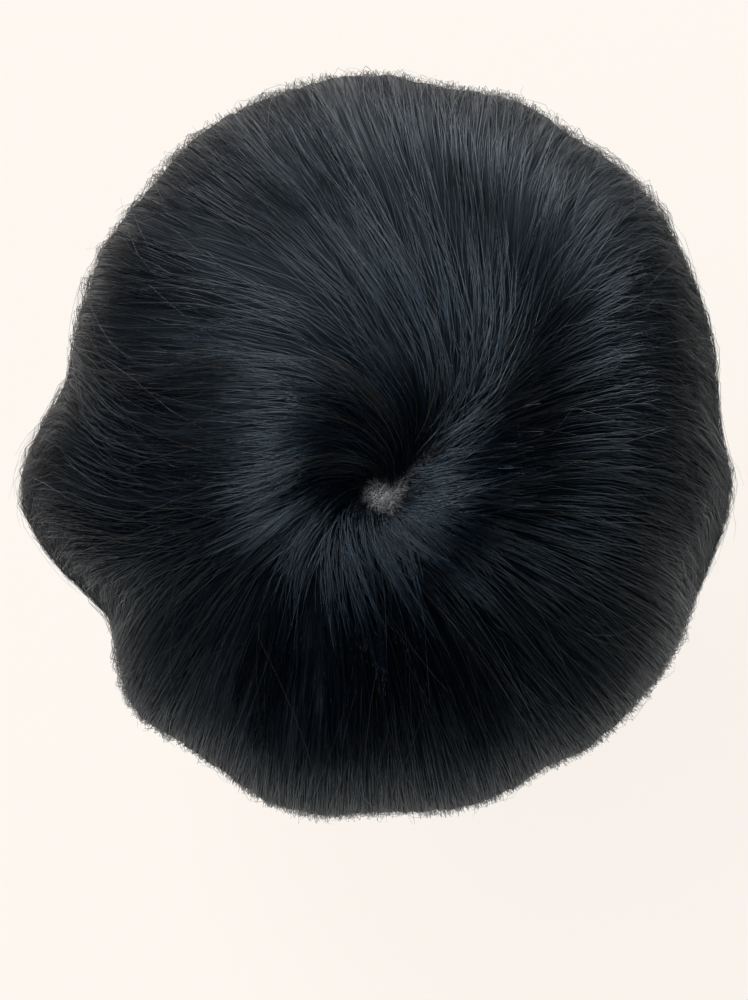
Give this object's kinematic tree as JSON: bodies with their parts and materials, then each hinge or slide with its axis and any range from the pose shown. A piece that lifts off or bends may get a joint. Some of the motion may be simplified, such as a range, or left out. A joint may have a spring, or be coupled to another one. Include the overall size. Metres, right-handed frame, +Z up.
{
  "type": "hair topper",
  "caption": "Short black hair topper: hair spreads from a crown whorl over a thin domed base with comb clips under its edge.",
  "frame": {"origin": "inside of the base, where the top of the head meets it", "axes": "+Z up, +Y towards the wearer's face, +X to the wearer's right"},
  "size_m": [0.2075, 0.2181, 0.1449],
  "materials": {
    "hair": "blue-black straight hair with a soft sheen",
    "base": "pale fine net, matte",
    "clip": "dark brown enamel, satin"
  },
  "bodies": {
    "root": {"base_cap": "base", "hair_front_right": "hair", "hair_front_left": "hair", "hair_left_side": "hair", "hair_back": "hair", "hair_right_side": "hair", "clip_right": "clip", "clip_front": "clip", "clip_left": "clip", "clip_back": "clip"}
  },
  "joints": []
}
